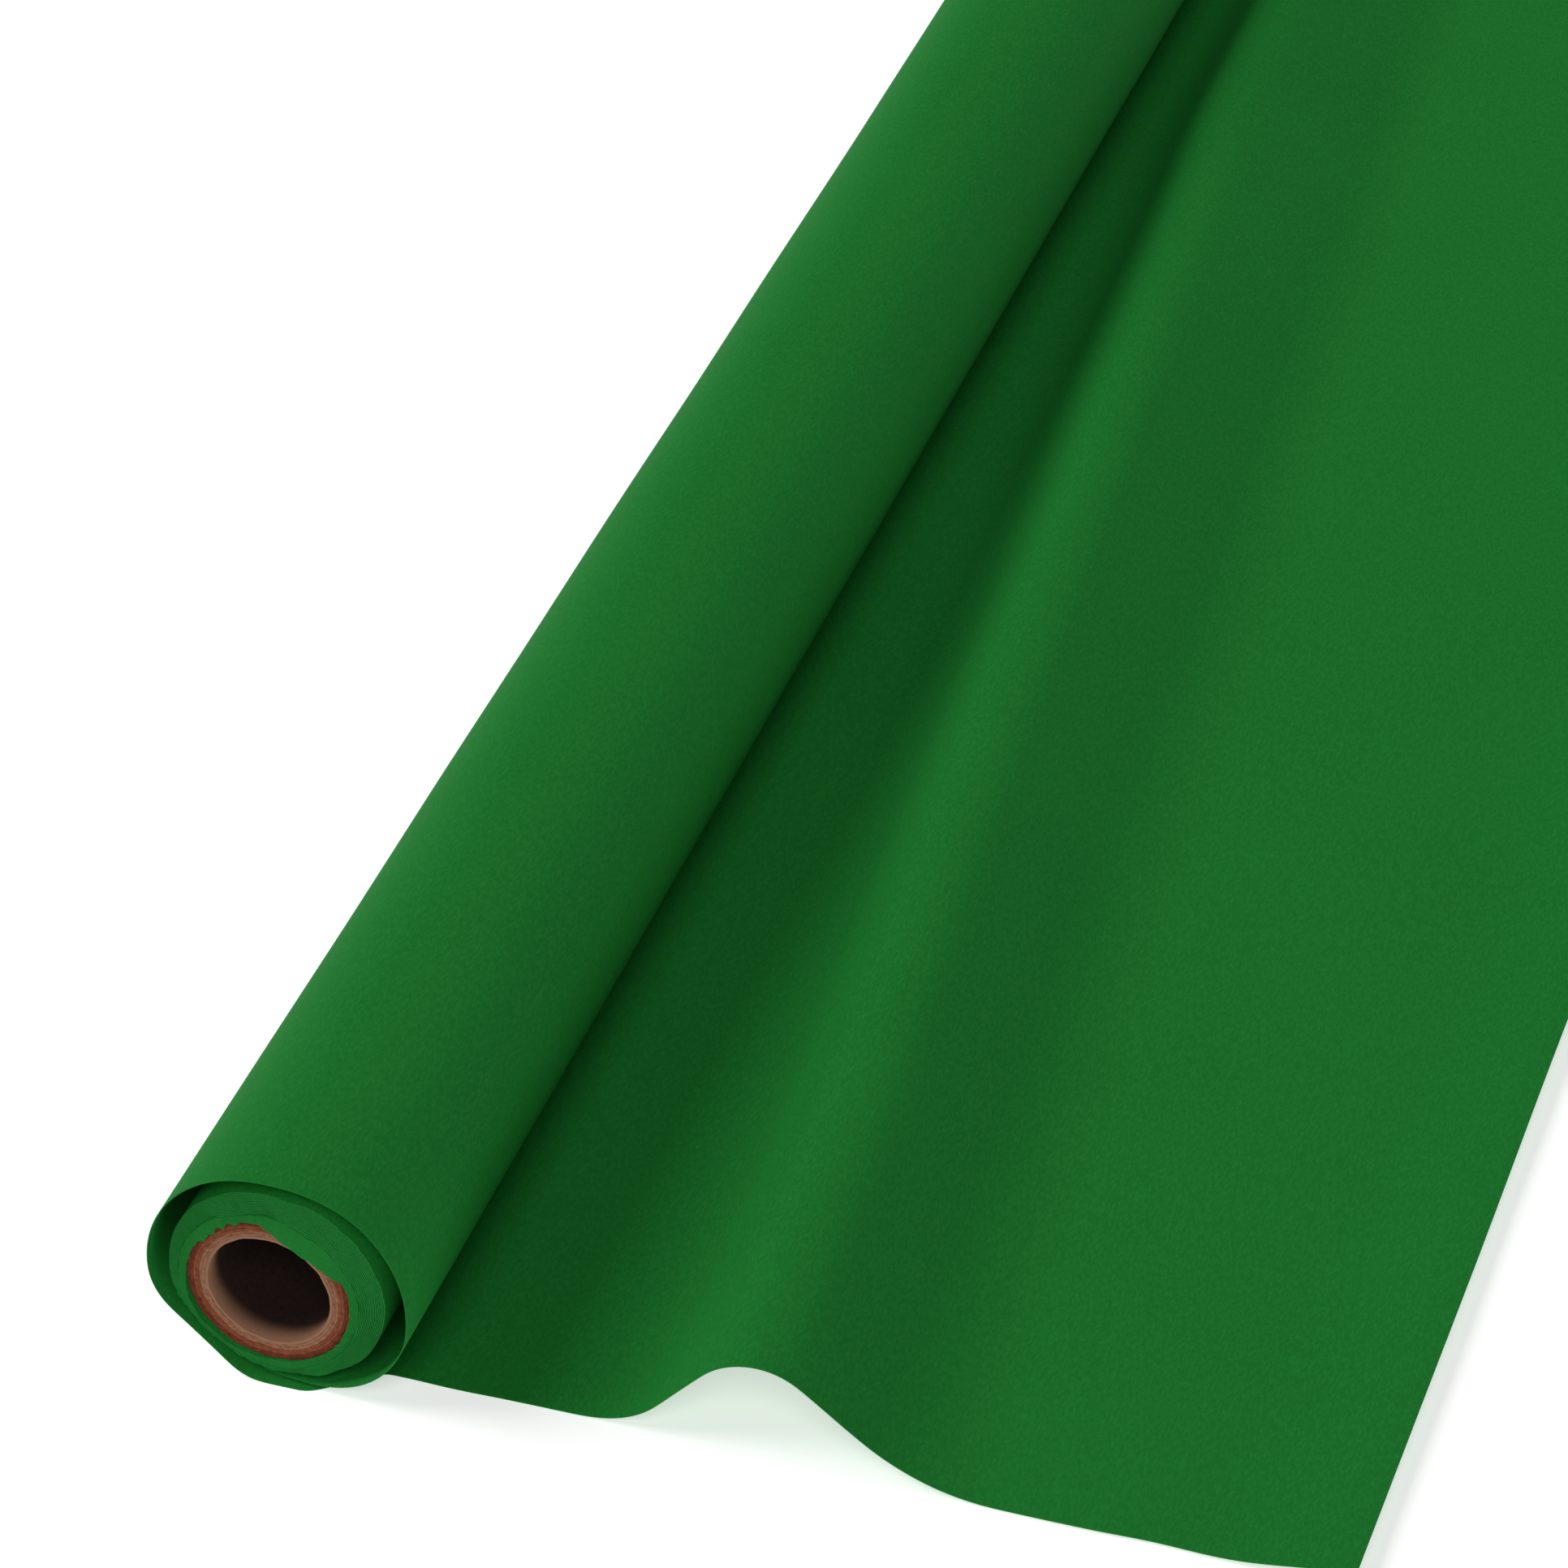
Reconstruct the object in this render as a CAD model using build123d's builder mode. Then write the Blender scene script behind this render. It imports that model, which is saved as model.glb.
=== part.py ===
from build123d import *

import os
from math import copysign, cos, hypot, radians, sin

# A backdrop paper roll: one seamless sheet wound on a cardboard core, lying on the floor with its free end
# drawn out. +Y runs along the core from the near end to the far end, +X is the way the sheet is drawn out,
# and +Z is up. The origin is on the core's axis, halfway along the core. Millimetres.

# Core: a spiral tube of board plies, glued to one another from the bore outwards
roll_length = 1350.0  # width of the paper, and the core is cut to the same length
core_bore = 51.0  # diameter
ply_thickness = 1.25
body_plies = 5  # between the liner ply and the face ply

# Tape that holds the paper's first edge to the core
tape_width = 25.0
tape_thickness = 0.3
tape_end_margin = 20.0

# Paper that is still tight on the core
winding_pitch = 0.22  # a 0.2 mm sheet and the air between turns
tight_turns = 16
wound_shift = -1.0  # along Y

# Turns that have gone slack: they hang round the tight paper, and stand off it at the top and right
slack_offset_x = 3.9
slack_offset_z = 4.8
slack_thinnest = 0.75

# The outermost turn and the drawn sheet, drawn thicker than the paper so that they hold up as solids
sheet_thickness = 1.0
turn_shift = -4.0
turn_left_gap = 7.0
turn_top_gap = 6.5
turn_right_gap = 9.0
turn_under_gap = 2.4  # between the two layers of sheet under the roll
turn_rest_angle = 226.0  # where the slack turns lean on the outermost turn, anticlockwise from +X
turn_foot = 30.0  # how far the outermost turn's flat part runs out under the roll, to meet the drawn sheet
heel_radius = 20.0  # where the outermost turn lifts off the floor
haunch_radius = 30.0  # where it turns from the lean to the upright side

# Drawn sheet: flat on the floor, one fold along the roll, then flat to the free end
drawn_length = 430.0  # along the sheet, from the outermost turn's foot to the free end
drawn_shift = 16.0
fold_rise_radius = 42.0
fold_crest_radius = 29.0
fold_fall_radius = 83.0
# Share of the roll's length from the near end, gap from the roll's side to the foot of the fold, run up,
# height and run down, as a sharp fold before its corners are rounded
fold_stations = (
    (0.0, 81.5, 50.0, 55.0, 71.0),
    (0.76, 10.5, 37.0, 37.0, 88.0),
    (1.0, 0.5, 32.0, 30.0, 79.0),
)

turning_gap = 0.3  # between pieces that turn against each other

core_radius = core_bore / 2 + (body_plies + 2) * ply_thickness
wound_radius = core_radius + tight_turns * winding_pitch
slack_bore = wound_radius + turning_gap
slack_radius = slack_bore + hypot(slack_offset_x, slack_offset_z) + slack_thinnest

# Levels and sides of the outermost turn's outer face
tail_level = slack_offset_z - slack_radius - turning_gap - sheet_thickness
floor_level = tail_level - turn_under_gap - sheet_thickness
crown_level = slack_offset_z + slack_radius + turn_top_gap + sheet_thickness
turn_left = slack_offset_x - slack_radius - turn_left_gap - sheet_thickness
turn_right = slack_offset_x + slack_radius + turn_right_gap + sheet_thickness
crown_radius = 0.47 * (turn_right - turn_left)
tail_radius = 0.94 * (crown_level - tail_level - crown_radius)


def across(y):
    """The plane across the roll at y, with its own X and Y along the part's +X and +Z."""
    return Plane.XZ.offset(-y)


def far_end(shift=0.0):
    """The same plane at the far end of a piece that is shifted along the roll."""
    return across(roll_length / 2 + shift)


def lean_point(x=None, z=None):
    """Where the outermost turn's leaning face meets the given x or z."""
    reach = slack_radius + turning_gap + sheet_thickness
    out_x, out_z = cos(radians(turn_rest_angle)), sin(radians(turn_rest_angle))
    if x is None:
        x = slack_offset_x + (reach - out_z * (z - slack_offset_z)) / out_x
    else:
        z = slack_offset_z + (reach - out_x * (x - slack_offset_x)) / out_z
    return x, z


def fold_corners(gap, run_up, height, run_down, end):
    """Corners of the drawn sheet's underside at one station, from the outermost turn's foot to x = end."""
    foot = turn_right + gap
    return [
        (turn_foot, floor_level),
        (foot, floor_level),
        (foot + run_up, floor_level + height),
        (foot + run_up + run_down, floor_level),
        (end, floor_level),
    ]


def sheet_outline(corners, radii):
    """Lines round a band of sheet whose thickness lies to the left of a path with rounded corners."""
    path = [Vector(*corner) for corner in corners]
    runs = [(after - before).normalized() for before, after in zip(path, path[1:])]
    sides = [run.rotate(Axis.Z, 90) for run in runs]
    mitres = [(m + n) / (1 + m.dot(n)) for m, n in zip([sides[0], *sides], [*sides, sides[-1]])]
    inside = [point + mitre * sheet_thickness for point, mitre in zip(path, mitres)]
    turns = [before.cross(after).Z for before, after in zip(runs, runs[1:])]
    inside_radii = [radius - copysign(sheet_thickness, turn) for radius, turn in zip(radii, turns)]
    FilletPolyline(*path, radius=radii)
    FilletPolyline(*inside, radius=inside_radii)
    Line(path[0], inside[0])
    Line(path[-1], inside[-1])


os.makedirs("parts", exist_ok=True)

# Core plies, from the bore outwards
ply_names = ["core_liner_ply", *(f"core_body_ply_{n + 1}" for n in range(body_plies)), "core_face_ply"]
for layer, ply_name in enumerate(ply_names):
    inner = core_bore / 2 + layer * ply_thickness
    with BuildPart() as ply:
        with BuildSketch(far_end()):
            Circle(inner + ply_thickness)
            Circle(inner, mode=Mode.SUBTRACT)
        extrude(amount=roll_length)
    ply.part.label = ply_name
    export_step(ply.part, f"parts/{ply_name}.step")

# Strip of tape along the bottom of the core, bent to its curve
with BuildPart() as start_tape:
    with BuildSketch(far_end(-tape_end_margin)):
        Circle(core_radius + tape_thickness)
        Circle(core_radius, mode=Mode.SUBTRACT)
        with Locations((0, -core_radius)):
            Rectangle(tape_width, core_radius, mode=Mode.INTERSECT)
    extrude(amount=roll_length - 2 * tape_end_margin)
start_tape.part.label = "start_tape"
export_step(start_tape.part, "parts/start_tape.step")

# Tight paper, which closes over the tape
with BuildPart() as wound_paper:
    with BuildSketch(far_end(wound_shift)):
        Circle(wound_radius)
        Circle(core_radius, mode=Mode.SUBTRACT)
    extrude(amount=roll_length)
    add(start_tape.part, mode=Mode.SUBTRACT)
wound_paper.part.label = "wound_paper"
export_step(wound_paper.part, "parts/wound_paper.step")

# Slack turns, with the tight paper turning inside them
with BuildPart() as slack_turns:
    with BuildSketch(far_end(wound_shift)):
        with Locations((slack_offset_x, slack_offset_z)):
            Circle(slack_radius)
        Circle(slack_bore, mode=Mode.SUBTRACT)
    extrude(amount=roll_length)
slack_turns.part.label = "slack_turns"
export_step(slack_turns.part, "parts/slack_turns.step")

# Outermost turn: from its inner end under the roll it goes up the right side, over the top, down the left,
# leans on the slack turns and runs out along the floor to its foot
with BuildPart() as outer_turn:
    with BuildSketch(far_end(turn_shift)):
        with BuildLine():
            sheet_outline(
                [
                    (slack_offset_x, tail_level),
                    (turn_right, tail_level),
                    (turn_right, crown_level),
                    (turn_left, crown_level),
                    lean_point(x=turn_left),
                    lean_point(z=floor_level),
                    (turn_foot, floor_level),
                ],
                [tail_radius, crown_radius, crown_radius, haunch_radius, heel_radius],
            )
        make_face()
    extrude(amount=roll_length)
outer_turn.part.label = "outer_turn"
export_step(outer_turn.part, "parts/outer_turn.step")

# Drawn sheet: the same length of paper at every station, so the free end lies a little askew
fold_radii = [fold_rise_radius, fold_crest_radius, fold_fall_radius]
with BuildPart() as drawn_sheet:
    for share, *fold in fold_stations:
        with BuildLine() as trial:
            FilletPolyline(*fold_corners(*fold, end=turn_foot + drawn_length), radius=fold_radii)
        end = turn_foot + 2 * drawn_length - trial.wire().length
        with BuildSketch(across((share - 0.5) * roll_length + drawn_shift)):
            with BuildLine():
                sheet_outline(fold_corners(*fold, end=end), fold_radii)
            make_face()
    loft(ruled=True)
drawn_sheet.part.label = "drawn_sheet"
export_step(drawn_sheet.part, "parts/drawn_sheet.step")
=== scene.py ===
"""Looks of a backdrop paper roll: green seamless paper on a board core, its free end drawn out on the floor.

Metres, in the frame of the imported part: +Y runs along the core to the far end, +X is the way the sheet is
drawn out, +Z is up, and the origin is on the core's axis, halfway along it. Angles go anticlockwise from +X.
"""

from math import atan2, cos, degrees, pi, radians, sin, tan

import bmesh
import bpy
import numpy as np
from mathutils import Matrix, Vector, noise


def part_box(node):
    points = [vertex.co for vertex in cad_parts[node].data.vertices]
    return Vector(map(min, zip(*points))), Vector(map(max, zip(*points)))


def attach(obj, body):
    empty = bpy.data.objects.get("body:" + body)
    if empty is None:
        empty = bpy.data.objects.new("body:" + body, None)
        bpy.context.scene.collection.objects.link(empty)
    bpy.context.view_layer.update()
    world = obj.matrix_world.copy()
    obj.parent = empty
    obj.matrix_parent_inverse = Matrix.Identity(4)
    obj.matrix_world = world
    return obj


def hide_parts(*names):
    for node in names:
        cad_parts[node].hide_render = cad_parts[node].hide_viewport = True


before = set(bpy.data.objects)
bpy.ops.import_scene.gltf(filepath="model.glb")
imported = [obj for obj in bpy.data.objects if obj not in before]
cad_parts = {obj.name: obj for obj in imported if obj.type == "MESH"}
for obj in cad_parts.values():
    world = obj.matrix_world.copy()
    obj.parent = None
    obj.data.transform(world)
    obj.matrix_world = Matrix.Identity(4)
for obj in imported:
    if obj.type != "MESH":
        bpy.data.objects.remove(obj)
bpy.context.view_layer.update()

mm = 0.001

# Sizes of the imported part
roll_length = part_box("core_face_ply")[1].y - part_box("core_face_ply")[0].y
core_end = roll_length / 2
core_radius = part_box("core_face_ply")[1].x
ply_thickness = core_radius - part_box("core_body_ply_5")[1].x
wound_low, wound_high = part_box("wound_paper")
slack_low, slack_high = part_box("slack_turns")
turn_low, turn_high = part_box("outer_turn")
drawn_low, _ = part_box("drawn_sheet")
wound_radius = wound_high.x
slack_radius = (slack_high.x - slack_low.x) / 2
slack_x = (slack_low.x + slack_high.x) / 2
slack_z = (slack_low.z + slack_high.z) / 2
slack_bore = wound_radius + 0.08 * mm  # closer than the solids, which leave room to turn
turning_gap = 0.3 * mm
solid_thickness = 1.0 * mm

# The sheet as it shows: thinner than the solids that stand for it
sheet_thickness = 0.35 * mm
floor_level = drawn_low.z
tail_level = slack_low.z - turning_gap - solid_thickness
turn_left, turn_right, crown_level = turn_low.x, turn_high.x, turn_high.z
crown_radius = 0.47 * (turn_right - turn_left)
tail_radius = 0.94 * (crown_level - tail_level - crown_radius)
turn_rest_angle = radians(226)  # where the slack turns lean on the outermost turn
turn_foot = 30 * mm
heel_radius = 20 * mm
haunch_radius = 30 * mm
peel_angle = radians(248)  # where the sheet leaves the slack turns
tuck_in = 4.5 * mm  # how far its near edge lies behind the slack turns' end there
tail_sag = 1.2 * mm  # how far it sags from there towards the layer on the floor
drawn_length = 430 * mm  # from the outermost turn's foot to the free end
drawn_shift = drawn_low.y - turn_low.y  # of the drawn part along the roll, from where the last turn lies
curl_height = 7 * mm  # that the free end keeps from the roll
curl_reach = 75 * mm
shift_starts = 18 * mm  # before the foot, measured along the paper
shift_takes = 32 * mm
tuck_fades = 70 * mm
settles_over = 80 * mm  # beyond the foot, the drawn part goes from lying flat to lying a little unevenly
stations, points_across = 131, 330  # of the sheet's mesh: along the roll, and round it to the free end
edge_strips = 60  # with the width split into this many strips, the uneven cut stays in the first and the last
rim_fold = 27.4 * mm  # from the axis to the straight fold of the inner turns over the rim
rim_fold_angle = radians(57)
tight_turns = 16
slack_turns = 15  # fewer than the paper has, so that each can be told from the next
fold_radii = [42 * mm, 29 * mm, 83 * mm]
# Share of the roll's length, then the fold there: gap from the roll's side, run up, height, run down
fold_shares = (0.0, 0.76, 1.0)
fold_gaps = (81.5 * mm, 10.5 * mm, 0.5 * mm)
fold_runs_up = (50 * mm, 37 * mm, 32 * mm)
fold_heights = (55 * mm, 37 * mm, 30 * mm)
fold_runs_down = (71 * mm, 88 * mm, 79 * mm)


# ---------------------------------------------------------------- nodes for the finishes


class Value:
    """A number that varies over a surface. Sums on it add Math nodes."""

    def __init__(self, finish, socket):
        self.finish, self.socket = finish, socket

    def __add__(self, other):
        return self.finish.maths("ADD", self, other)

    def __sub__(self, other):
        return self.finish.maths("SUBTRACT", self, other)

    def __rsub__(self, other):
        return self.finish.maths("SUBTRACT", other, self)

    def __mul__(self, other):
        return self.finish.maths("MULTIPLY", self, other)

    def __truediv__(self, other):
        return self.finish.maths("DIVIDE", self, other)

    __radd__ = __add__
    __rmul__ = __mul__


class Finish:
    """A material, and the nodes that make it."""

    def __init__(self, name):
        self.material = bpy.data.materials.new(name)
        self.material.use_nodes = True
        self.tree = self.material.node_tree
        self.shader = self.tree.nodes["Principled BSDF"]

    def node(self, kind, settings=None, inputs=None, output=0):
        """A new node: its settings go in first, then the values or links of its sockets."""
        made = self.tree.nodes.new(kind)
        for name, value in (settings or {}).items():
            setattr(made, name, value)
        for name, value in (inputs or {}).items():
            self.feed(made.inputs[name], value)
        return Value(self, made.outputs[output])

    def feed(self, socket, value):
        if isinstance(value, Value):
            self.tree.links.new(value.socket, socket)
        else:
            socket.default_value = value

    def maths(self, operation, *values):
        return self.node("ShaderNodeMath", {"operation": operation}, dict(enumerate(values)))

    def axes(self, where):
        """The x, y and z of a point, each as a value."""
        split = self.node("ShaderNodeSeparateXYZ", inputs={0: where}).socket.node
        return [Value(self, socket) for socket in split.outputs]

    def surface(self, **sockets):
        """Feeds the shader's sockets, named with _ for each space."""
        for name, value in sockets.items():
            self.feed(self.shader.inputs[name.replace("_", " ")], value)
        return self.material

    def place(self, stretch=(1, 1, 1)):
        """Where a point is on the piece, in metres, stretched along each axis."""
        where = self.node("ShaderNodeTexCoord", output="Object")
        return self.node("ShaderNodeVectorMath", {"operation": "MULTIPLY"}, {0: where, 1: stretch})

    def grain(self, size, stretch=(1, 1, 1), detail=3.0, roughness=0.5):
        """Noise between 0 and 1 with spots of about this size."""
        inputs = {"Vector": self.place(stretch), "Scale": 1 / size, "Detail": detail, "Roughness": roughness}
        return self.node("ShaderNodeTexNoise", {"noise_dimensions": "3D"}, inputs, "Fac")

    def between(self, value, low, high):
        """0 below low, 1 above high, and smooth between."""
        settings = {"interpolation_type": "SMOOTHSTEP"}
        inputs = {"Value": value, "From Min": low, "From Max": high}
        return self.node("ShaderNodeMapRange", settings, inputs)

    def mix(self, share, first, second):
        """The first colour where share is 0, the second where it is 1."""
        # socket 0 is the share of a colour mix, 6 and 7 are its colours, and output 2 is its result
        return self.node("ShaderNodeMix", {"data_type": "RGBA"}, {0: share, 6: first, 7: second}, 2)

    def bump(self, height, depth, strength=1.0):
        """Relief whose height is given between 0 and 1, and whose depth is in metres."""
        inputs = {"Height": height, "Distance": depth, "Strength": strength}
        return self.node("ShaderNodeBump", {}, inputs)


def colour(red, green, blue):
    """A display colour, 0 to 255, as the linear colour that shaders take."""
    parts = [part / 255 for part in (red, green, blue)]
    return (*[part / 12.92 if part <= 0.04045 else ((part + 0.055) / 1.055) ** 2.4 for part in parts], 1)


def paper_finish():
    """Matt dyed paper: fine fibres, faint cloudiness, and a soft tooth."""
    finish = Finish("green_paper")
    clouds = finish.grain(90 * mm, detail=2)
    fibres = finish.grain(1.1 * mm, stretch=(1, 0.35, 1), detail=4, roughness=0.65)
    tooth = finish.grain(0.45 * mm, detail=2)
    even = finish.mix(clouds, colour(29, 121, 45), colour(33, 129, 50))
    green = finish.mix(finish.between(fibres, 0.35, 0.75), even, colour(39, 140, 58))
    return finish.surface(
        Base_Color=green,
        Roughness=0.72 + 0.12 * fibres,
        Specular_IOR_Level=0.06,
        Normal=finish.bump(fibres * 0.6 + tooth * 0.4, 0.03 * mm, 0.5),
    )


def paper_edge_finish():
    """The cut edges of the paper: rough and a little paler than its faces."""
    finish = Finish("green_paper_edge")
    fibres = finish.grain(0.5 * mm, detail=4, roughness=0.7)
    drift = finish.grain(14 * mm, detail=2)
    even = finish.mix(drift, colour(24, 104, 38), colour(28, 112, 44))
    green = finish.mix(finish.between(fibres, 0.3, 0.8), even, colour(38, 126, 56))
    return finish.surface(
        Base_Color=green,
        Roughness=0.85 + 0.1 * fibres,
        Specular_IOR_Level=0.05,
        Normal=finish.bump(fibres, 0.08 * mm, 0.5),
    )


def board_finish(name, dark, light, seam_pitch=None):
    """Brown core board: coarse pulp with pale flecks. The liner has none: it shows the seam of its strip, and
    its last few mm at the sawn end are painted pale, as painted light where light reaches into the bore."""
    finish = Finish(name)
    pulp = finish.grain(2.2 * mm, detail=5, roughness=0.7)
    flecks = finish.grain(0.7 * mm, detail=2)
    drift = finish.grain(30 * mm, detail=2)
    brown = finish.mix(finish.between(pulp, 0.3, 0.7), dark, light)
    if not seam_pitch:
        brown = finish.mix(finish.between(flecks, 0.62, 0.78) * 0.4, brown, colour(160, 106, 82))
    brown = finish.mix(finish.between(drift, 0.4, 0.75) * 0.35, brown, dark)
    height = pulp * 0.7 + flecks * 0.3
    if seam_pitch:
        x, y, z = finish.axes(finish.place())
        turn = finish.maths("ARCTAN2", z, x) / (2 * pi)
        along = finish.maths("FRACT", y / seam_pitch + turn)
        seam = 1 - finish.between(along, 0.0, 0.02)
        brown = finish.mix(seam * 0.7, brown, colour(30, 16, 10))
        height = height - seam
        # painted light: a pale band over the last few mm of the bore from the sawn end, where light reaches in;
        # the liner's dark browns further in are painted shade
        from_end = core_end - finish.maths("ABSOLUTE", y) + 2.5 * mm * pulp
        brown = finish.mix(finish.between(from_end, 1.5 * mm, 13 * mm), colour(140, 102, 78), brown)
    return finish.surface(
        Base_Color=brown,
        Roughness=0.82 + 0.14 * pulp,
        Specular_IOR_Level=0.2,
        Normal=finish.bump(height, 0.25 * mm, 0.7),
    )


def tape_finish():
    """Cream creped tape, its ribs across the strip."""
    finish = Finish("masking_tape")
    ribs = finish.grain(1.6 * mm, stretch=(0.2, 1, 0.2), detail=3)
    dye = finish.grain(12 * mm)
    cream = finish.mix(dye, colour(214, 190, 138), colour(228, 208, 162))
    return finish.surface(
        Base_Color=cream,
        Roughness=0.5 + 0.2 * ribs,
        Specular_IOR_Level=0.35,
        Normal=finish.bump(ribs, 0.12 * mm, 0.8),
    )


# ---------------------------------------------------------------- shapes


def smooth(value):
    """From 0 to 1 with no corner at either end, for values below 0, between, and above 1."""
    value = np.clip(value, 0, 1)
    return value * value * (3 - 2 * value)


def waves(where, size, seed):
    """Smooth noise, about -1 to 1, with waves of this size at each place."""
    at = [Vector(place) / size + Vector((seed, seed, seed)) for place in where]
    return np.array([noise.noise(place) for place in at]) * 2


def piece(name, points, faces, finishes, sharp=radians(50)):
    """A mesh piece: smooth, with its corners kept sharp."""
    mesh = bpy.data.meshes.new(name)
    mesh.from_pydata(np.asarray(points).tolist(), [], faces)
    made = bpy.data.objects.new(name, mesh)
    bpy.context.scene.collection.objects.link(made)
    for finish in finishes:
        mesh.materials.append(finish)
    shape = bmesh.new()
    shape.from_mesh(mesh)
    bmesh.ops.remove_doubles(shape, verts=shape.verts, dist=0.001 * mm)
    bmesh.ops.dissolve_degenerate(shape, edges=shape.edges, dist=0.001 * mm)
    bmesh.ops.recalc_face_normals(shape, faces=shape.faces)
    shape.to_mesh(mesh)
    shape.free()
    mesh.shade_smooth()
    mesh.set_sharp_from_angle(angle=sharp)
    return made


def grid_faces(rows, columns, start=0, flip=False):
    """Quads over a grid of points laid out row by row."""
    quads = []
    for row in range(rows - 1):
        for column in range(columns - 1):
            corner = start + row * columns + column
            quad = (corner, corner + 1, corner + columns + 1, corner + columns)
            quads.append(quad[::-1] if flip else quad)
    return quads


def rounded_path(corners, radii):
    """Close points along straight runs joined by arcs, one radius for each inner corner."""
    path = [Vector(corner) for corner in corners]
    points = [path[0]]
    for before, corner, after, radius in zip(path, path[1:], path[2:], radii):
        run_in, run_out = (corner - before).normalized(), (after - corner).normalized()
        turn = atan2(run_in.x * run_out.y - run_in.y * run_out.x, run_in.dot(run_out))
        centre = corner - run_in * radius * tan(abs(turn) / 2)
        side = Vector((-run_in.y, run_in.x)) * (radius if turn > 0 else -radius)
        centre += side
        steps = max(4, int(abs(degrees(turn))))
        points += [centre + Matrix.Rotation(turn * step / steps, 2) @ -side for step in range(steps + 1)]
    return np.array([*points, path[-1]])


def evenly(points, count):
    """The same path as this many points an equal distance apart."""
    gone = np.concatenate([[0], np.cumsum(np.hypot(*np.diff(points, axis=0).T))])
    at = np.linspace(0, gone[-1], count)
    return np.stack([np.interp(at, gone, points[:, 0]), np.interp(at, gone, points[:, 1])], axis=1)


def path_length(points):
    return float(np.hypot(*np.diff(points, axis=0).T).sum())


def eased(points, reach):
    """The path with its changes of curve softened over a few points each way."""
    window = np.hanning(2 * reach + 1)
    window /= window.sum()
    padded = np.pad(points, ((reach, reach), (0, 0)), mode="reflect", reflect_type="odd")
    return np.stack([np.convolve(padded[:, axis], window, "valid") for axis in (0, 1)], axis=1)


def lean_point(x=None, z=None):
    """Where the outermost turn's leaning face meets the given x or z."""
    reach = slack_radius + turning_gap + solid_thickness
    out_x, out_z = cos(turn_rest_angle), sin(turn_rest_angle)
    if x is None:
        return slack_x + (reach - out_z * (z - slack_z)) / out_x, z
    return x, slack_z + (reach - out_x * (x - slack_x)) / out_z


def sheet_path(share, count):
    """The sheet's outer face across the roll at one share of its width, from the slack turns on."""
    gap, run_up, height, run_down = (
        float(np.interp(share, fold_shares, values))
        for values in (fold_gaps, fold_runs_up, fold_heights, fold_runs_down)
    )
    wander = noise.noise(Vector((share * 5.0, 3.1, 0.0)))
    gap += 3.0 * mm * wander * smooth(share * 4)
    height *= 1 + 0.04 * noise.noise(Vector((share * 7.0, 8.7, 0.0))) * float(smooth(share * 4))
    foot = turn_right + gap
    start = (slack_x + slack_radius * cos(peel_angle), slack_z + slack_radius * sin(peel_angle))
    tail = tail_level - tail_sag
    # it leaves the slack turns along their tangent, on its way down
    peel_run = (start[1] - tail) * tan(peel_angle)
    corners = [
        start,
        (start[0] + peel_run, tail),
        (turn_right, tail),
        (turn_right, crown_level),
        (turn_left, crown_level),
        lean_point(x=turn_left),
        lean_point(z=floor_level),
        (foot, floor_level),
        (foot + run_up, floor_level + height),
        (foot + run_up + run_down, floor_level),
    ]
    radii = [20 * mm, tail_radius, crown_radius, crown_radius, haunch_radius, heel_radius, *fold_radii]
    # the free end is where the paper beyond the foot is drawn_length long
    fold = rounded_path(
        [(turn_foot, floor_level), *corners[-3:], (turn_foot + drawn_length, floor_level)], fold_radii
    )
    end = turn_foot + 2 * drawn_length - path_length(fold)
    path = rounded_path([*corners, (end, floor_level)], radii)
    return eased(evenly(path, count), 3)


def paper_sheet(finishes):
    """The last turn and the drawn length as one sheet: it leaves the slack turns underneath, goes up the right
    side, over the top and down the left, leans on the slack turns, then runs out under the roll and over its
    one fold."""
    points = []
    for share in np.linspace(0, 1, stations):
        path = sheet_path(share, points_across)
        x, z = path[:, 0], path[:, 1]
        y = turn_low.y + share * roll_length
        gone = np.linspace(0, 1, points_across)
        length = path_length(path)
        drawn = gone * length - (length - drawn_length)  # how far beyond the outermost turn's foot
        shift = drawn_shift * smooth((drawn + shift_starts) / shift_takes)
        tucked = tuck_in * (1 - share) * (1 - smooth(gone * length / tuck_fades))
        # small unevenness, and the free end's curl
        uneven = waves(np.stack([x, np.full(points_across, y), z], axis=1), 160 * mm, 4.2)
        on_floor = smooth(drawn / settles_over)
        curl = curl_height * smooth(1 - (1 - gone) * length / curl_reach) ** 2
        z = z + on_floor * (0.7 * mm * (1 + uneven) * smooth((x - turn_right) / (60 * mm)) + curl)
        x = x + (1 - on_floor) * 0.35 * mm * uneven * smooth((gone - 0.05) / 0.1)
        # the two side edges are cut a little unevenly
        along_edge = np.stack(
            [gone * length, np.full(points_across, share * 9), np.zeros(points_across)], axis=1
        )
        at_edge = (1 - smooth(share * edge_strips)) + smooth((share - 1) * edge_strips + 1)
        uneven_cut = 0.4 * mm * waves(along_edge, 30 * mm, 1.7) * at_edge
        points.append(np.stack([x, y + shift + tucked + uneven_cut, z], axis=1))
    made = piece("paper_sheet", np.concatenate(points), grid_faces(stations, points_across), finishes)
    face_outwards(made)
    solid = made.modifiers.new("thickness", "SOLIDIFY")
    solid.thickness = sheet_thickness
    solid.offset = -1
    solid.use_even_offset = True
    solid.material_offset_rim = 1
    finish_modifiers(made)
    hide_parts("outer_turn", "drawn_sheet")
    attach(made, "sheet")
    return made, length


def face_outwards(made):
    """Turns the sheet's faces so that their normals point to its outer side, the floor's side when drawn."""
    shape = bmesh.new()
    shape.from_mesh(made.data)
    far = max(shape.faces, key=lambda face: face.calc_center_median().x)
    if far.normal.z > 0:
        bmesh.ops.reverse_faces(shape, faces=shape.faces)
    shape.to_mesh(made.data)
    shape.free()


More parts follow.
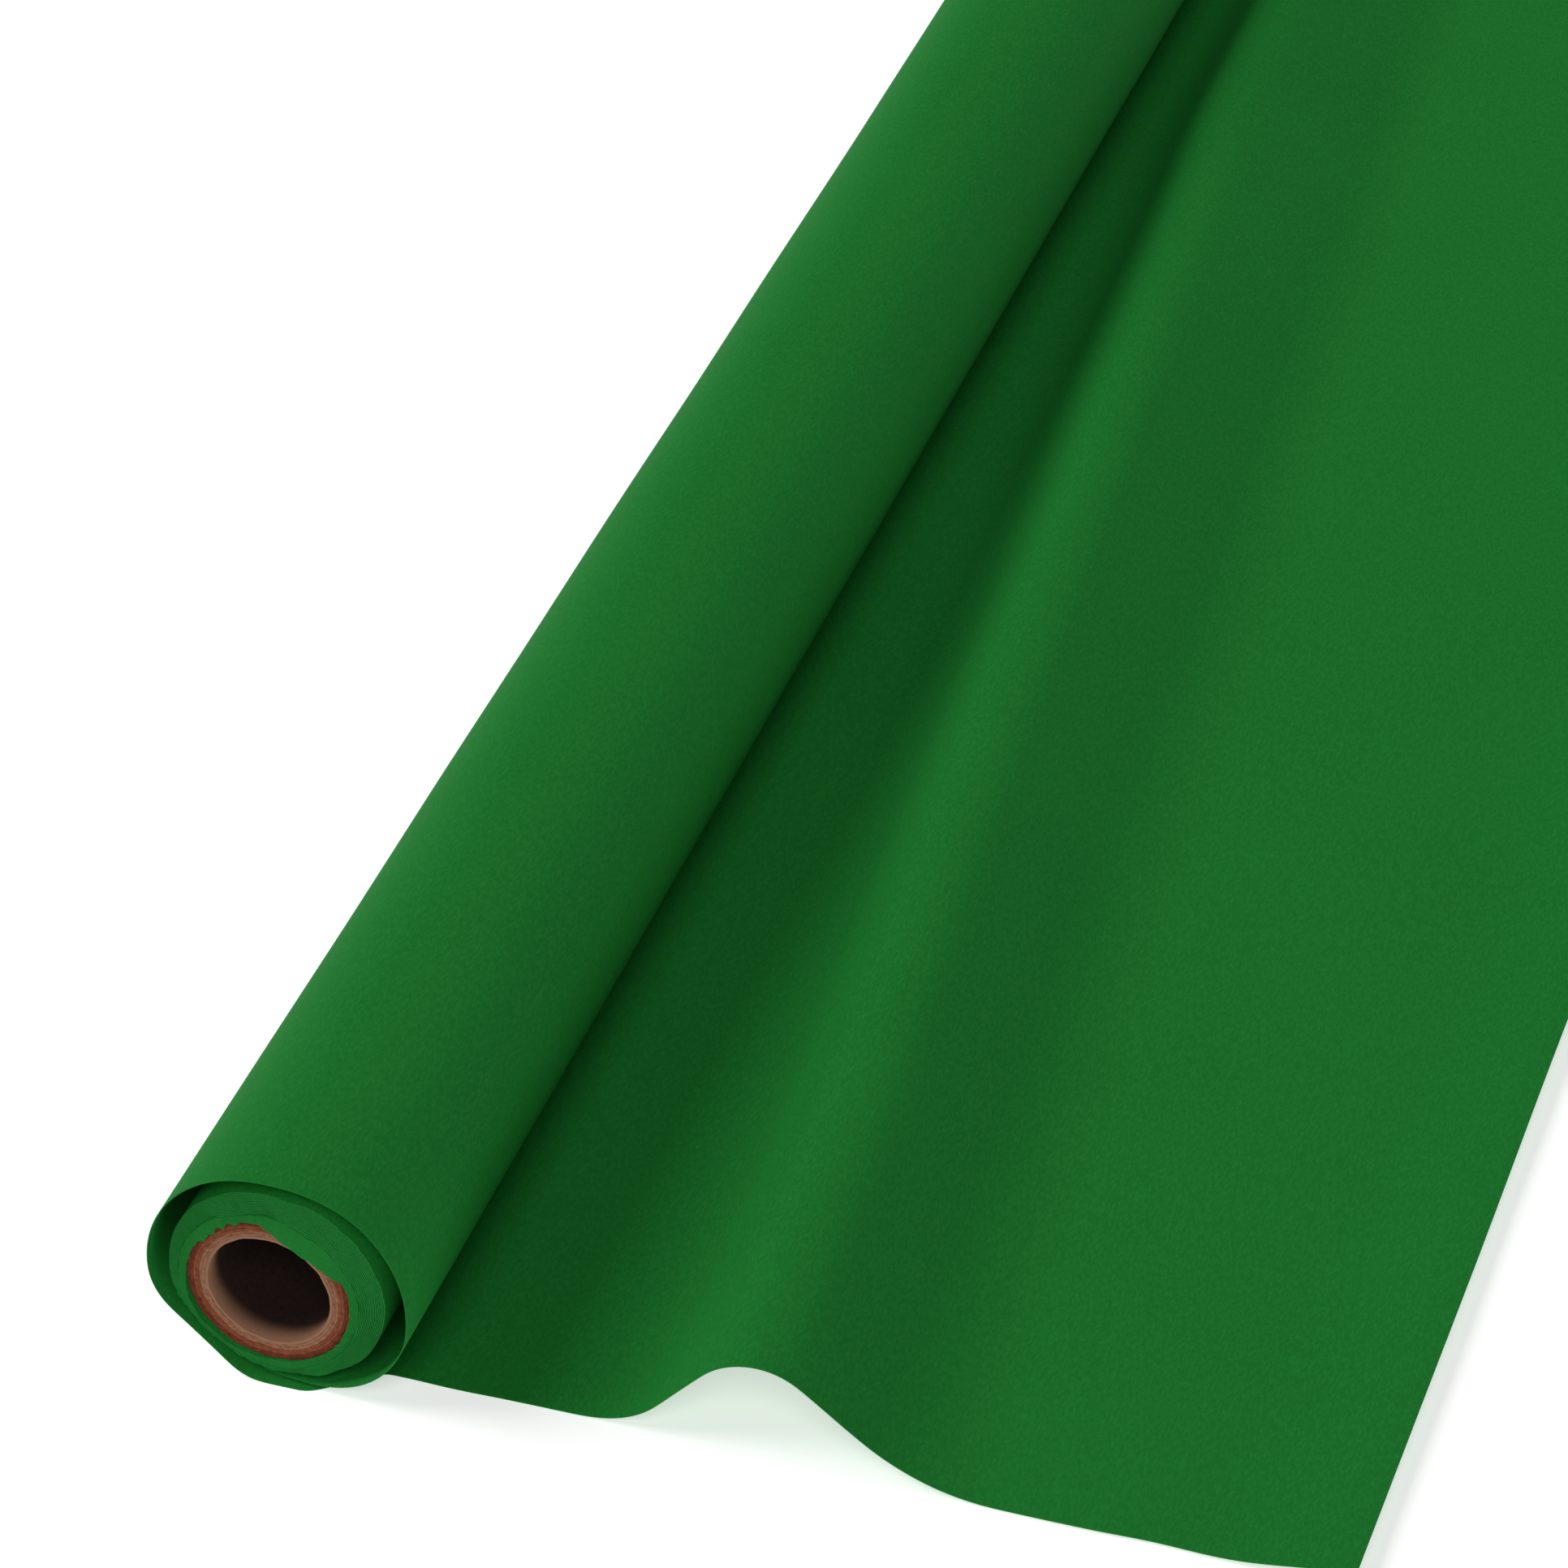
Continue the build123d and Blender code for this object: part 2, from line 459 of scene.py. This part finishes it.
def finish_modifiers(made):
    """Puts the modifiers' result in the mesh, smooth with its cut edges sharp."""
    ready = made.evaluated_get(bpy.context.evaluated_depsgraph_get())
    mesh = bpy.data.meshes.new_from_object(ready)
    made.modifiers.clear()
    made.data = mesh
    mesh.shade_smooth()
    mesh.set_sharp_from_angle(angle=radians(50))


def wound_pack(name, inner, outer, turns, near, far, relief, finishes, mouth=None, around=240):
    """Turns of paper wound on each other, with a spiral of paper edges on each end.

    inner and outer give the pack's inner and outer boundary at an angle, as arrays of x and z. near and far
    give the ends' y at each place. relief is the depth of the gap beside each paper edge, as a multiple of the
    room that one turn takes. mouth, if there is one, gives the radius to which the inner turns lean in or flare
    out at the near end."""
    angles = np.linspace(0, 2 * pi, around + 1)
    within = (0.0, 0.18, 0.82)  # of the room of one turn: the gap, and both sides of the paper's edge
    steps = [turn + part for turn in range(turns + 1) for part in within] + [turns + 1.0]
    inner_x, inner_z = inner(angles)
    outer_x, outer_z = outer(angles)
    pitch = np.hypot(outer_x - inner_x, outer_z - inner_z) / turns
    ends = []
    for side, end in ((-1, near), (1, far)):
        for step in steps:
            out = np.clip((step - 1 + angles / (2 * pi)) / turns, 0, 1)
            x = inner_x + out * (outer_x - inner_x)
            z = inner_z + out * (outer_z - inner_z)
            y = end(x, z)
            if step == int(step):
                y = y - side * np.minimum(relief * pitch, 3.5 * mm) * ((out > 0) & (out < 1))
            if mouth is not None and side < 0:
                # the innermost turn bends all the way and the outermost not at all
                bent = (mouth(angles) - np.hypot(inner_x, inner_z)) * (1 - out) ** 1.5
                y = y - 0.18 * np.maximum(-bent, 0)
                radius = np.hypot(x, z)
                x, z = x * (radius + bent) / radius, z * (radius + bent) / radius
            ends.append(np.stack([x, y, z], axis=1))
    rows, columns = len(steps), around + 1
    faces = grid_faces(rows, columns) + grid_faces(rows, columns, rows * columns, flip=True)
    walls = [ends[rows - 1], ends[-1], ends[0]]
    if mouth is not None:
        # the inner wall goes back to the core's rim, then closes on the core further in
        rim = np.maximum(np.hypot(inner_x, inner_z), mouth(angles))
        for radius, y in ((rim, -core_end - 0.15 * mm), (np.hypot(inner_x, inner_z), -core_end + 12 * mm)):
            walls.append(
                np.stack([radius * np.cos(angles), np.full(columns, y), radius * np.sin(angles)], axis=1)
            )
    walls.append(ends[rows])
    start = 2 * rows * columns
    faces += grid_faces(2, columns, start) + grid_faces(len(walls) - 2, columns, start + 2 * columns)
    made = piece(name, np.concatenate(ends + walls), faces, finishes, sharp=radians(40))
    for face in made.data.polygons:
        is_cut_edge = abs(face.normal.y) > 0.3 or face.area < 4 * mm * mm
        face.material_index = int(is_cut_edge)
    return made


def around_angle(angles, middle, reach):
    """1 at the middle angle and 0 from reach away on, in degrees, and smooth between."""
    away = np.abs(np.angle(np.exp(1j * (angles - radians(middle)))))
    return smooth(1 - away / radians(reach))


def circle(radius, x=0.0, z=0.0):
    """A round boundary: its x and z at an angle."""
    return lambda angles: (x + radius * np.cos(angles), z + radius * np.sin(angles))


def uneven_end(level, seed, *waviness):
    """An end at this y, with waves of each height and size given."""

    def end(x, z):
        place = np.stack([x, np.zeros_like(x), z], axis=1)
        return level + sum(height * waves(place, size, seed) for height, size in waviness)

    return end


def slack_paper(finishes):
    """The turns that have gone slack: tight at the lower left, and open at the upper right."""
    waviness = (1.0 * mm, 14 * mm), (0.35 * mm, 2.5 * mm)
    near, far = uneven_end(slack_low.y, 2.5, *waviness), uneven_end(slack_high.y, 6.5, *waviness)
    bore, outside = circle(slack_bore), circle(slack_radius, slack_x, slack_z)
    made = wound_pack("slack_paper", bore, outside, slack_turns, near, far, 3.0, finishes)
    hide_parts("slack_turns")
    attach(made, "sheet")
    return made


def tight_paper(finishes):
    """The paper that is still tight on the core. Its first turns stand proud of it and lean over its rim."""

    def mouth(angles):
        """Over the rim at the top right in one straight fold, torn at the top left, and off the core at the
        lower left."""
        place = core_radius * np.stack([np.cos(angles), np.zeros_like(angles), np.sin(angles)], axis=1)
        torn = 0.7 * waves(place, 3.5 * mm, 9.3) + 0.5 * waves(place, 1.5 * mm, 5.3)
        top_left, lower_left = around_angle(angles, 128, 30), around_angle(angles, 228, 70)
        folded = rim_fold / np.maximum(np.cos(angles - rim_fold_angle), 0.3)
        return (
            np.minimum(core_radius - 0.3 * mm, folded)
            - 1.7 * mm * top_left
            + 1.9 * mm * lower_left
            + (0.35 + 1.3 * top_left) * mm * torn
        )

    waviness = (0.5 * mm, 12 * mm), (0.2 * mm, 2 * mm)
    near, far = uneven_end(wound_low.y, 3.5, *waviness), uneven_end(wound_high.y, 7.5, *waviness)
    bore, outside = circle(core_radius), circle(wound_radius)
    made = wound_pack(
        "tight_paper", bore, outside, tight_turns, near, far, 0.5, finishes, mouth=mouth, around=300
    )
    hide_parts("wound_paper")
    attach(made, "roll")
    return made


def core_ply(node, finish, seed, around=160):
    """One glued ply of the core: a tube of board, its sawn ends a little uneven and soft at their edges."""
    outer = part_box(node)[1].x
    inner = outer - ply_thickness
    angles = np.linspace(0, 2 * pi, around + 1)
    burr = 0.12 * mm
    ring = [(inner, burr), (inner + burr, 0), (outer - burr, 0), (outer, burr)]
    rings = []
    for side in (-1, 1):
        for radius, back in ring if side < 0 else ring[::-1]:
            place = np.stack(
                [outer * np.cos(angles), np.full(around + 1, side * 1.0), outer * np.sin(angles)], axis=1
            )
            rough = 0.22 * mm * waves(place, 5 * mm, seed) + 0.12 * mm * waves(place, 1.2 * mm, seed)
            y = side * (core_end - back) + rough
            rings.append(np.stack([radius * np.cos(angles), y, radius * np.sin(angles)], axis=1))
    rings.append(rings[0])
    made = piece(
        node.replace("core_", "board_"), np.concatenate(rings), grid_faces(len(rings), around + 1), [finish],
        sharp=radians(75),
    )
    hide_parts(node)
    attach(made, "roll")
    return made


def core(face_board, body_boards, liner_painted_shade):
    """All seven plies. The boards of the five body plies are given from the bore outwards."""
    slots = {
        "core_liner_ply": ("core_liner_board", liner_painted_shade),
        "core_face_ply": ("core_face_board", face_board),
    }
    for number, board in enumerate(body_boards, start=1):
        slots[f"core_body_ply_{number}"] = ("core_body_board", board)
    for number, (node, (slot, board)) in enumerate(slots.items()):
        core_ply(node, board, 11.3 + 2.7 * number)


# ---------------------------------------------------------------- studio


def soft_light(name, towards, strength):
    """A broad, even light that comes from one side."""
    light = bpy.data.lights.new(name, "SUN")
    light.energy = strength
    light.angle = radians(30)
    made = bpy.data.objects.new(name, light)
    made.rotation_euler = Vector(towards).to_track_quat("Z", "Y").to_euler()
    bpy.context.scene.collection.objects.link(made)


def studio():
    """A pale floor, a soft key light from the left, a broad fill from the near side, and a surround that is
    pale near the horizon and dim above."""
    bpy.ops.mesh.primitive_plane_add(size=60, location=(0, 0, floor_level))
    floor = bpy.context.object
    floor.name = "studio_floor"
    finish = Finish("studio_floor")
    floor.data.materials.append(
        finish.surface(
            Base_Color=colour(240, 240, 240), Roughness=0.9, Specular_IOR_Level=0.0,
            Emission_Color=(1, 1, 1, 1), Emission_Strength=0.5,
        )
    )
    world = bpy.data.worlds.new("studio")
    world.use_nodes = True
    nodes, links = world.node_tree.nodes, world.node_tree.links
    direction = nodes.new("ShaderNodeTexCoord")
    parts = nodes.new("ShaderNodeSeparateXYZ")
    fade = nodes.new("ShaderNodeMapRange")
    fade.interpolation_type = "SMOOTHSTEP"
    # between these heights above the horizon, as sines, it fades from one strength to the other
    for name, value in {"From Min": 0.13, "From Max": 0.17, "To Min": 1.0, "To Max": 0.04}.items():
        fade.inputs[name].default_value = value
    surround = nodes["Background"]
    surround.inputs["Color"].default_value = (1, 1, 1, 1)
    links.new(direction.outputs["Generated"], parts.inputs[0])
    links.new(parts.outputs["Z"], fade.inputs["Value"])
    links.new(fade.outputs["Result"], surround.inputs["Strength"])
    bpy.context.scene.world = world
    soft_light("key", (-0.70, -0.14, 0.70), 1.38)
    soft_light("front_fill", (0.18, -0.72, 0.68), 1.2)
    bpy.context.scene.view_settings.view_transform = "Standard"


def camera():
    """A long lens from above the near end, on the drawn sheet's side."""
    azimuth, elevation = radians(18.28), radians(35.74)
    sight = Vector((-sin(azimuth) * cos(elevation), cos(azimuth) * cos(elevation), -sin(elevation)))
    lens = bpy.data.cameras.new("camera")
    lens.lens = 134.28
    lens.sensor_width = 36
    lens.clip_end = 50
    made = bpy.data.objects.new("camera", lens)
    made.location = (731.8 * mm, -2252.7 * mm, 1485.6 * mm)
    made.rotation_euler = sight.to_track_quat("-Z", "Y").to_euler()
    bpy.context.scene.collection.objects.link(made)
    bpy.context.scene.camera = made


camera()
studio()
paper = [paper_finish(), paper_edge_finish()]
slack = slack_paper(paper)
tight_paper(paper)
sheet, sheet_length = paper_sheet(paper)
red_board = board_finish("core_face_board", colour(78, 30, 16), colour(116, 50, 29))
body_board = board_finish("core_body_board", colour(104, 50, 29), colour(134, 76, 50))
inner_board = board_finish("core_inner_board", colour(118, 76, 53), colour(148, 106, 80))
# painted shade: the liner's near-black browns stand for the shade inside the bore
liner_painted_shade = board_finish("core_liner_board", colour(27, 17, 13), colour(42, 27, 20), seam_pitch=130 * mm)
core(red_board, [inner_board, inner_board, body_board, body_board, red_board], liner_painted_shade)
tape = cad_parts["start_tape"].data.materials
tape.clear()
tape.append(tape_finish())
